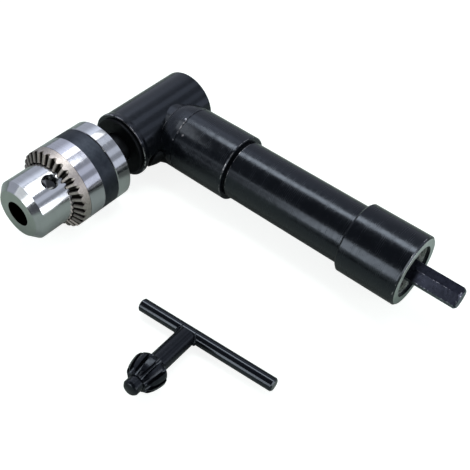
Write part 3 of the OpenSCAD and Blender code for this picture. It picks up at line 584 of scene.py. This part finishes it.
def tooth_slots():
    """Bars that open the key's tooth spaces over their whole length."""
    section = (
        (0.0, -SPACE_FLOOR_HALF), (SPACE_DEPTH, -SPACE_TOP_HALF),
        (SPACE_DEPTH, SPACE_TOP_HALF), (0.0, SPACE_FLOOR_HALF),
    )
    sides = ((3, 2, 1, 0), (4, 5, 6, 7), (0, 1, 5, 4), (1, 2, 6, 5), (2, 3, 7, 6), (3, 0, 4, 7))
    points, faces = [], []
    for i in range(KEY_TEETH):
        place = (
            KEY_FRAME @ Matrix.Rotation(i * math.tau / KEY_TEETH, 4, "Z")
            @ Matrix.Translation((SPACE_R, 0, SPACE_Z)) @ Matrix.Rotation(SPACE_LEAN, 4, "Y")
        )
        first = len(points)
        for z in (SPACE_FROM, SPACE_TO):
            points += [tuple(place @ Vector((x, y, z))) for x, y in section]
        faces += [tuple(first + corner for corner in face) for face in sides]
    data = bpy.data.meshes.new("slots")
    data.from_pydata(points, [], faces)
    return data


def key_blank():
    """The key's shank and pinion from the solid, with the shank's end at the bar's near side."""
    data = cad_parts["key_pinion"].data.copy()
    if "custom_normal" in data.attributes:
        data.attributes.remove(data.attributes["custom_normal"])
    back = KEY_FRAME.inverted()
    for vertex in data.vertices:
        place = back @ vertex.co
        if place.z < SHANK_START:
            place.z = SHANK_START
            vertex.co = KEY_FRAME @ place
    shape = bmesh.new()
    shape.from_mesh(data)
    bmesh.ops.remove_doubles(shape, verts=shape.verts, dist=1e-6)
    bmesh.ops.dissolve_degenerate(shape, edges=shape.edges, dist=1e-6)
    shape.to_mesh(data)
    shape.free()
    return data


def cut_away(data, slots):
    """A new mesh: the first one less the second."""
    objects = [bpy.data.objects.new("cut", mesh) for mesh in (data, slots)]
    for obj in objects:
        scene.collection.objects.link(obj)
    cut = objects[0].modifiers.new("cut", "BOOLEAN")
    cut.operation, cut.solver, cut.object = "DIFFERENCE", "EXACT", objects[1]
    bpy.context.view_layer.update()
    whole = objects[0].evaluated_get(bpy.context.evaluated_depsgraph_get())
    result = bpy.data.meshes.new_from_object(whole)
    for obj in objects:
        bpy.data.objects.remove(obj)
    for mesh in (data, slots):
        bpy.data.meshes.remove(mesh)
    return result


def make_key_shank():
    data = cut_away(key_blank(), tooth_slots())
    data.name = "key_shank"
    obj = new_piece("key_shank", data, "key", "key")
    data.set_sharp_from_angle(angle=math.radians(32))
    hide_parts("key_pinion")


# The weld beads: degrees round the shank, radius, height over the metal, and ripple
BEAD_ARC, BEAD_STEPS = 88, 24
BEAD_R, BEAD_LIFT, BEAD_RIPPLE = 0.00075, 0.0001, 0.18


def weld_bead(side):
    """A weld bead in the corner between the key's shank and its bar."""
    loops = []
    for i in range(BEAD_STEPS + 1):
        turn = math.radians(-BEAD_ARC / 2 + BEAD_ARC * i / BEAD_STEPS)
        x, y = SHANK_R * math.cos(turn) + BEAD_LIFT, SHANK_R * math.sin(turn)
        z = math.sqrt(max(BAR_R ** 2 - y * y, 0)) + BEAD_LIFT
        taper = math.sin(math.pi * (i + 0.6) / (BEAD_STEPS + 1.2)) ** 0.5
        size = BEAD_R * taper * (1 + BEAD_RIPPLE * math.sin(i * 1.9))
        out = Vector((math.cos(turn) * side, math.sin(turn), 0.5)).normalized()
        along = Vector((-math.sin(turn) * side, math.cos(turn), 0)).normalized()
        other = out.cross(along)
        loops.append([
            tuple(KEY_FRAME @ (
                Vector((side * x, y, z)) + (out * math.cos(a) + other * math.sin(a)) * size
            ))
            for a in (k * math.tau / 12 for k in range(12))
        ])
    return loft("weld_bead", loops)


make_key_shank()
for name, side in (("key_weld_right", 1), ("key_weld_left", -1)):
    new_piece(name, weld_bead(side), "key", "key")


# How strongly the floor glows where the camera sees it, and how much of the white metal reflects
FLOOR_WHITE, FLOOR_GLOSSY, HORIZON_GLOSSY = 0.84, 0.03, 0.06
FLOOR_HALF, FLOOR_PLACE = 4.0, (0.05, 0.05, FLOOR_Z - 0.0001)
FLOOR_COLOR = (0.4, 0.455, 0.4, 1)


def seen_by_eye(s, path):
    return s.math("MAXIMUM", path.outputs["Is Camera Ray"], path.outputs["Is Transmission Ray"])


def make_floor():
    """A floor that is white to the camera and keeps the object's soft shadow."""
    half = FLOOR_HALF
    corners = [(-half, -half, 0), (half, -half, 0), (half, half, 0), (-half, half, 0)]
    data = bpy.data.meshes.new("floor")
    data.from_pydata(corners, [], [(0, 1, 2, 3)])
    floor = bpy.data.objects.new("floor", data)
    floor.location = FLOOR_PLACE
    scene.collection.objects.link(floor)
    material = bpy.data.materials.new("floor_white")
    s = Nodes(material)
    s.tree.nodes.clear()
    path = s.node("LightPath")
    shine = s.times(path.outputs["Is Glossy Ray"], FLOOR_GLOSSY)
    glow = s.node(
        "Emission", Color=(1, 1, 1, 1),
        Strength=s.math("MULTIPLY_ADD", seen_by_eye(s, path), FLOOR_WHITE, shine),
    )
    both = s.node("AddShader")
    s.put(s.node("BsdfDiffuse", Color=FLOOR_COLOR).outputs[0], both.inputs[0])
    s.put(glow.outputs[0], both.inputs[1])
    s.node("OutputMaterial", Surface=both.outputs[0])
    data.materials.append(material)


make_floor()

# Brightness of the studio's walls: behind the object, the brighter patch there, and in front of it
WALL_DARK, WALL_PALE, WALL_PATCH = 0.36, 0.58, 0.75
FRONT_DARK, FRONT_PALE = 0.09, 0.5
# Pale strips on the walls: middle and half width in degrees, soft edge, strength
STRIPS = ((12, 9, 4, 0.55), (47, 6, 5, 0.4), (86, 8, 3, 0.48))
ROOM_COLOR = (0.9, 0.95, 1.12, 1)


def make_world():
    """A studio room of pale walls, a darker front and pale strips, and white to the camera."""
    world = bpy.data.worlds.new("studio")
    scene.world = world
    s = Nodes(world)
    s.tree.nodes.clear()

    def ease(value, low, high, to_low, to_high):
        return s.span(value, low, high, to_low, to_high, "SMOOTHSTEP")

    ray = s.node("SeparateXYZ", Vector=s.node("TexCoord").outputs["Generated"])
    x, y, z = ray.outputs
    # Degrees round the chuck's axis, from +X over the top
    turn = s.times(s.math("ARCTAN2", z, x), 180 / math.pi)
    room = ease(turn, 104, 122, WALL_DARK, WALL_PALE)
    patch = s.times(
        ease(turn, 117, 123, 0.0, WALL_PATCH), ease(turn, 121, 150, 1.0, 0.0),
        ease(y, 0.5, 0.62, 1.0, 0.0),
    )
    room = s.math("ADD", room, patch)
    for centre, half, soft, strength in STRIPS:
        away = s.math("ABSOLUTE", s.math("SUBTRACT", turn, centre))
        room = s.math("ADD", room, ease(away, half, half + soft, strength, 0.0))
    room = s.times(room, ease(y, 0.55, 0.95, 1.0, 0.66))
    front = ease(x, -0.5, -0.66, FRONT_DARK, FRONT_PALE)
    behind = ease(y, -0.08, 0.14, 0.0, 1.0)
    light = s.math(
        "ADD", s.times(room, behind), s.times(front, s.math("SUBTRACT", 1.0, behind))
    )

    path = s.node("LightPath")
    shine = s.times(path.outputs["Is Glossy Ray"], ease(z, 0.0, 0.15, HORIZON_GLOSSY, 0.0))
    mix = s.node("MixShader")
    s.put(s.math("MAXIMUM", seen_by_eye(s, path), shine), mix.inputs[0])
    s.put(s.node("Background", Color=ROOM_COLOR, Strength=light).outputs[0], mix.inputs[1])
    s.put(s.node("Background", Color=(1, 1, 1, 1)).outputs[0], mix.inputs[2])
    s.node("OutputWorld", Surface=mix.outputs[0])


make_world()


def lamp(name, place, turn, size, radiance, color=(1, 1, 1)):
    """A rectangular studio lamp: place, turn in degrees, width and height, radiance and colour."""
    data = bpy.data.lights.new(name, "AREA")
    data.shape = "RECTANGLE"
    data.size, data.size_y = size
    data.energy = math.pi * size[0] * size[1] * radiance
    data.color = color
    obj = bpy.data.objects.new(name, data)
    obj.location = place
    obj.rotation_euler = [math.radians(v) for v in turn]
    obj.visible_camera = False
    scene.collection.objects.link(obj)


DAYLIGHT = (0.95, 0.98, 1.0)
lamp("top", (-0.023, 0.1515, 0.4), (0, 0, 12), (0.338, 0.107), 6.0, DAYLIGHT)
lamp("over_head", (-0.012, 0.0485, 0.06), (0, 0, 0), (0.02, 0.041), 2.2)
lamp("front", (0.018, -0.25, 0.08), (90, 0, 0), (0.116, 0.166), 4.2, DAYLIGHT)
lamp("front_left", (-0.078, -0.25, 0.08), (90, 0, 0), (0.075, 0.166), 0.7, DAYLIGHT)
lamp("near_front", (-0.03, -0.08, 0.0685), (90, 0, 0), (0.09, 0.019), 0.9, DAYLIGHT)
lamp("right", (0.5, 0.01, 0.1), (0, 90, 0), (0.22, 0.48), 3.2)

scene.view_settings.view_transform = "Standard"
